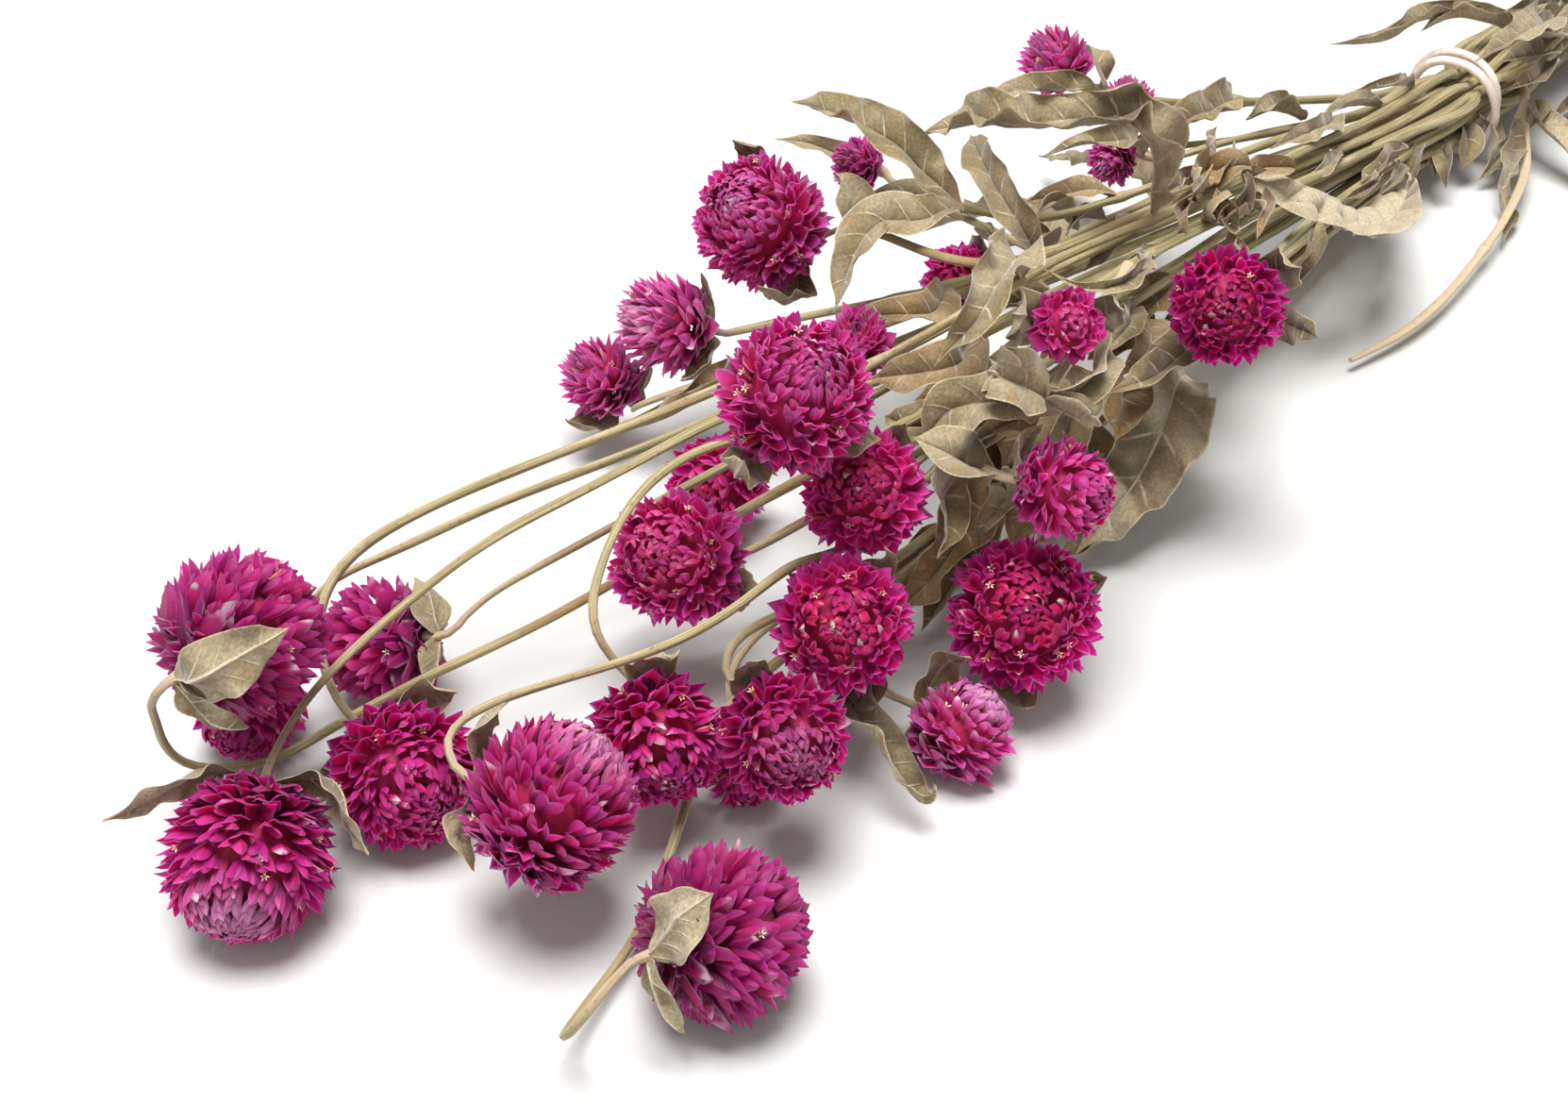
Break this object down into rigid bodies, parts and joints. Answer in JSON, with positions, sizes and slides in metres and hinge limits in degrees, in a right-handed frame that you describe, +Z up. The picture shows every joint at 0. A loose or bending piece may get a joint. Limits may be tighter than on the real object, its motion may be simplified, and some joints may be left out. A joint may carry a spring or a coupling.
{
  "type": "bunch of dried gomphrena",
  "caption": "Tied bunch of dried globe amaranth lying down: round magenta bract heads on curved dry stems with crumpled grey-green leaves, held by a rubber band.",
  "frame": {"origin": "middle of the bounding box's base, on the surface that the bunch lies on", "axes": "+X along the bunch from the flowers to the cut ends, +Y across the bunch, +Z up"},
  "size_m": [0.3903, 0.1146, 0.0596],
  "materials": {
    "bloom": "dry papery bracts with a satin sheen, deep magenta with paler edges",
    "stem_and_leaf": "dry, matte, straw to olive and grey-green, finely hairy",
    "rubber_band": "smooth matte pinkish white rubber"
  },
  "bodies": {
    "root": {"bloom_01": "bloom", "bloom_02": "bloom", "bloom_03": "bloom", "bloom_04": "bloom", "bloom_05": "bloom", "bloom_06": "bloom", "bloom_07": "bloom", "bloom_08": "bloom", "bloom_09": "bloom", "bloom_10": "bloom", "bloom_11": "bloom", "bloom_12": "bloom", "bloom_13": "bloom", "bloom_14": "bloom", "bloom_15": "bloom", "bloom_16": "bloom", "bloom_17": "bloom", "bloom_18": "bloom", "bloom_19": "bloom", "bloom_20": "bloom", "bloom_21": "bloom", "bloom_22": "bloom", "bloom_23": "bloom", "bloom_24": "bloom", "bloom_25": "bloom", "bloom_26": "bloom", "bloom_27": "bloom", "bloom_28": "bloom", "bloom_29": "bloom", "stem_01": "stem_and_leaf", "stem_02": "stem_and_leaf", "stem_03": "stem_and_leaf", "stem_04": "stem_and_leaf", "stem_05": "stem_and_leaf", "stem_06": "stem_and_leaf", "stem_07": "stem_and_leaf", "stem_08": "stem_and_leaf", "stem_09": "stem_and_leaf", "stem_10": "stem_and_leaf", "stem_11": "stem_and_leaf", "stem_12": "stem_and_leaf", "stem_13": "stem_and_leaf", "stem_14": "stem_and_leaf", "stem_15": "stem_and_leaf", "stem_16": "stem_and_leaf", "stem_17": "stem_and_leaf", "stem_18": "stem_and_leaf", "stem_19": "stem_and_leaf", "stem_20": "stem_and_leaf", "stem_21": "stem_and_leaf", "stem_22": "stem_and_leaf", "stem_23": "stem_and_leaf", "rubber_band": "rubber_band"}
  },
  "joints": []
}
